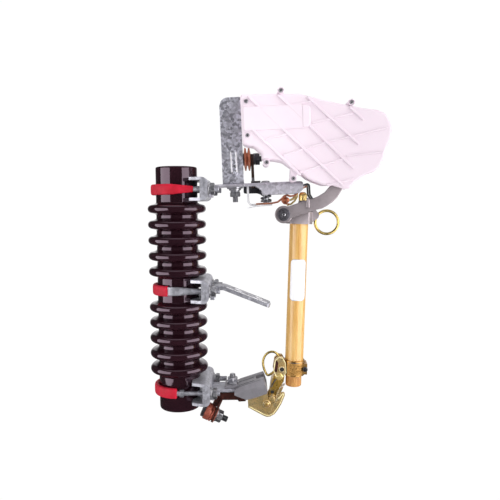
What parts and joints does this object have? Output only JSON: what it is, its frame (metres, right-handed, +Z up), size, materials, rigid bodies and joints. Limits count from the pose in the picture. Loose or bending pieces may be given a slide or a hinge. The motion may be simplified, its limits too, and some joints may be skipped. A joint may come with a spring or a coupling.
{
  "type": "dropout fuse cutout",
  "caption": "Pole-top dropout fuse cutout with a ribbed porcelain insulator, band clamps, a swing-out fuse tube, a load-break lever and a white arc chute.",
  "frame": {"origin": "on the top flat face of the sloping mounting strap, midway between its two bolt holes", "axes": "+Z up along the insulator, +X from the insulator towards the fuse tube, the arc chute lies towards -Y"},
  "size_m": [0.3377, 0.088, 0.4736],
  "materials": {
    "porcelain": "glossy dark brown glaze",
    "galvanised": "hot-dip galvanised",
    "red_sleeve": "soft vinyl",
    "bolt_steel": "zinc plated",
    "chute_plastic": "moulded, slightly translucent",
    "dark_steel": "blackened",
    "copper": "bare copper",
    "spring_steel": "bright",
    "cast_grey": "as cast",
    "chromate": "yellow chromate",
    "brown_bar": "dark red-brown",
    "fibreglass": "varnished filament-wound glass fibre",
    "fibre_end": "vulcanised fibre",
    "label": "blank white",
    "brass": "machined",
    "bronze": "cast bronze"
  },
  "bodies": {
    "cutout_frame": {"insulator": "porcelain", "clamp_bands": "galvanised", "band_sleeves": "red_sleeve", "clamp_nuts": "bolt_steel", "top_saddle": "galvanised", "middle_saddle": "galvanised", "bottom_saddle": "galvanised", "mounting_strap": "galvanised", "top_channel": "galvanised", "chute_plate": "galvanised", "plate_bolt": "bolt_steel", "chute_front": "chute_plastic", "chute_back": "chute_plastic", "chute_screws": "dark_steel", "top_terminal_pad": "dark_steel", "top_terminal_jaws": "copper", "top_terminal_bolt": "dark_steel", "contact_bolt": "bolt_steel", "contact_strip": "copper", "contact_spring": "bolt_steel", "backing_spring": "spring_steel", "contact_guide": "dark_steel", "hinge_bar": "galvanised", "hinge_support": "cast_grey", "support_bolt": "bolt_steel", "hook_plates": "chromate", "hook_rivet": "chromate", "terminal_bar": "brown_bar", "bottom_terminal_jaws": "copper", "bottom_terminal_bolt": "bolt_steel"},
    "fuse_holder": {"fuse_tube": "fibreglass", "tube_end": "fibre_end", "tube_label": "label", "upper_casting": "cast_grey", "contact_cap": "brass", "pull_ring": "brass", "lower_collar": "bronze", "collar_bolt": "dark_steel", "trunnion_link": "chromate", "trunnion_pin": "chromate", "lifting_ring": "brass", "flipper_strip": "spring_steel"},
    "load_break_lever": {"breaker_blade": "cast_grey", "blade_hub": "dark_steel"}
  },
  "joints": [
    {"name": "drop_out_hinge", "type": "hinge", "parent": "cutout_frame", "child": "fuse_holder", "pos_m": [0.03257, 0, -0.14992], "axis": [0, 1, 0], "range_deg": [0, 160]},
    {"name": "lever_pivot", "type": "hinge", "parent": "fuse_holder", "child": "load_break_lever", "pos_m": [0.04957, -0.023, 0.11468], "axis": [0, 1, 0], "range_deg": [-30, 0], "stiffness_Nm_per_rad": 0.15, "springref_deg": 28.65}
  ]
}
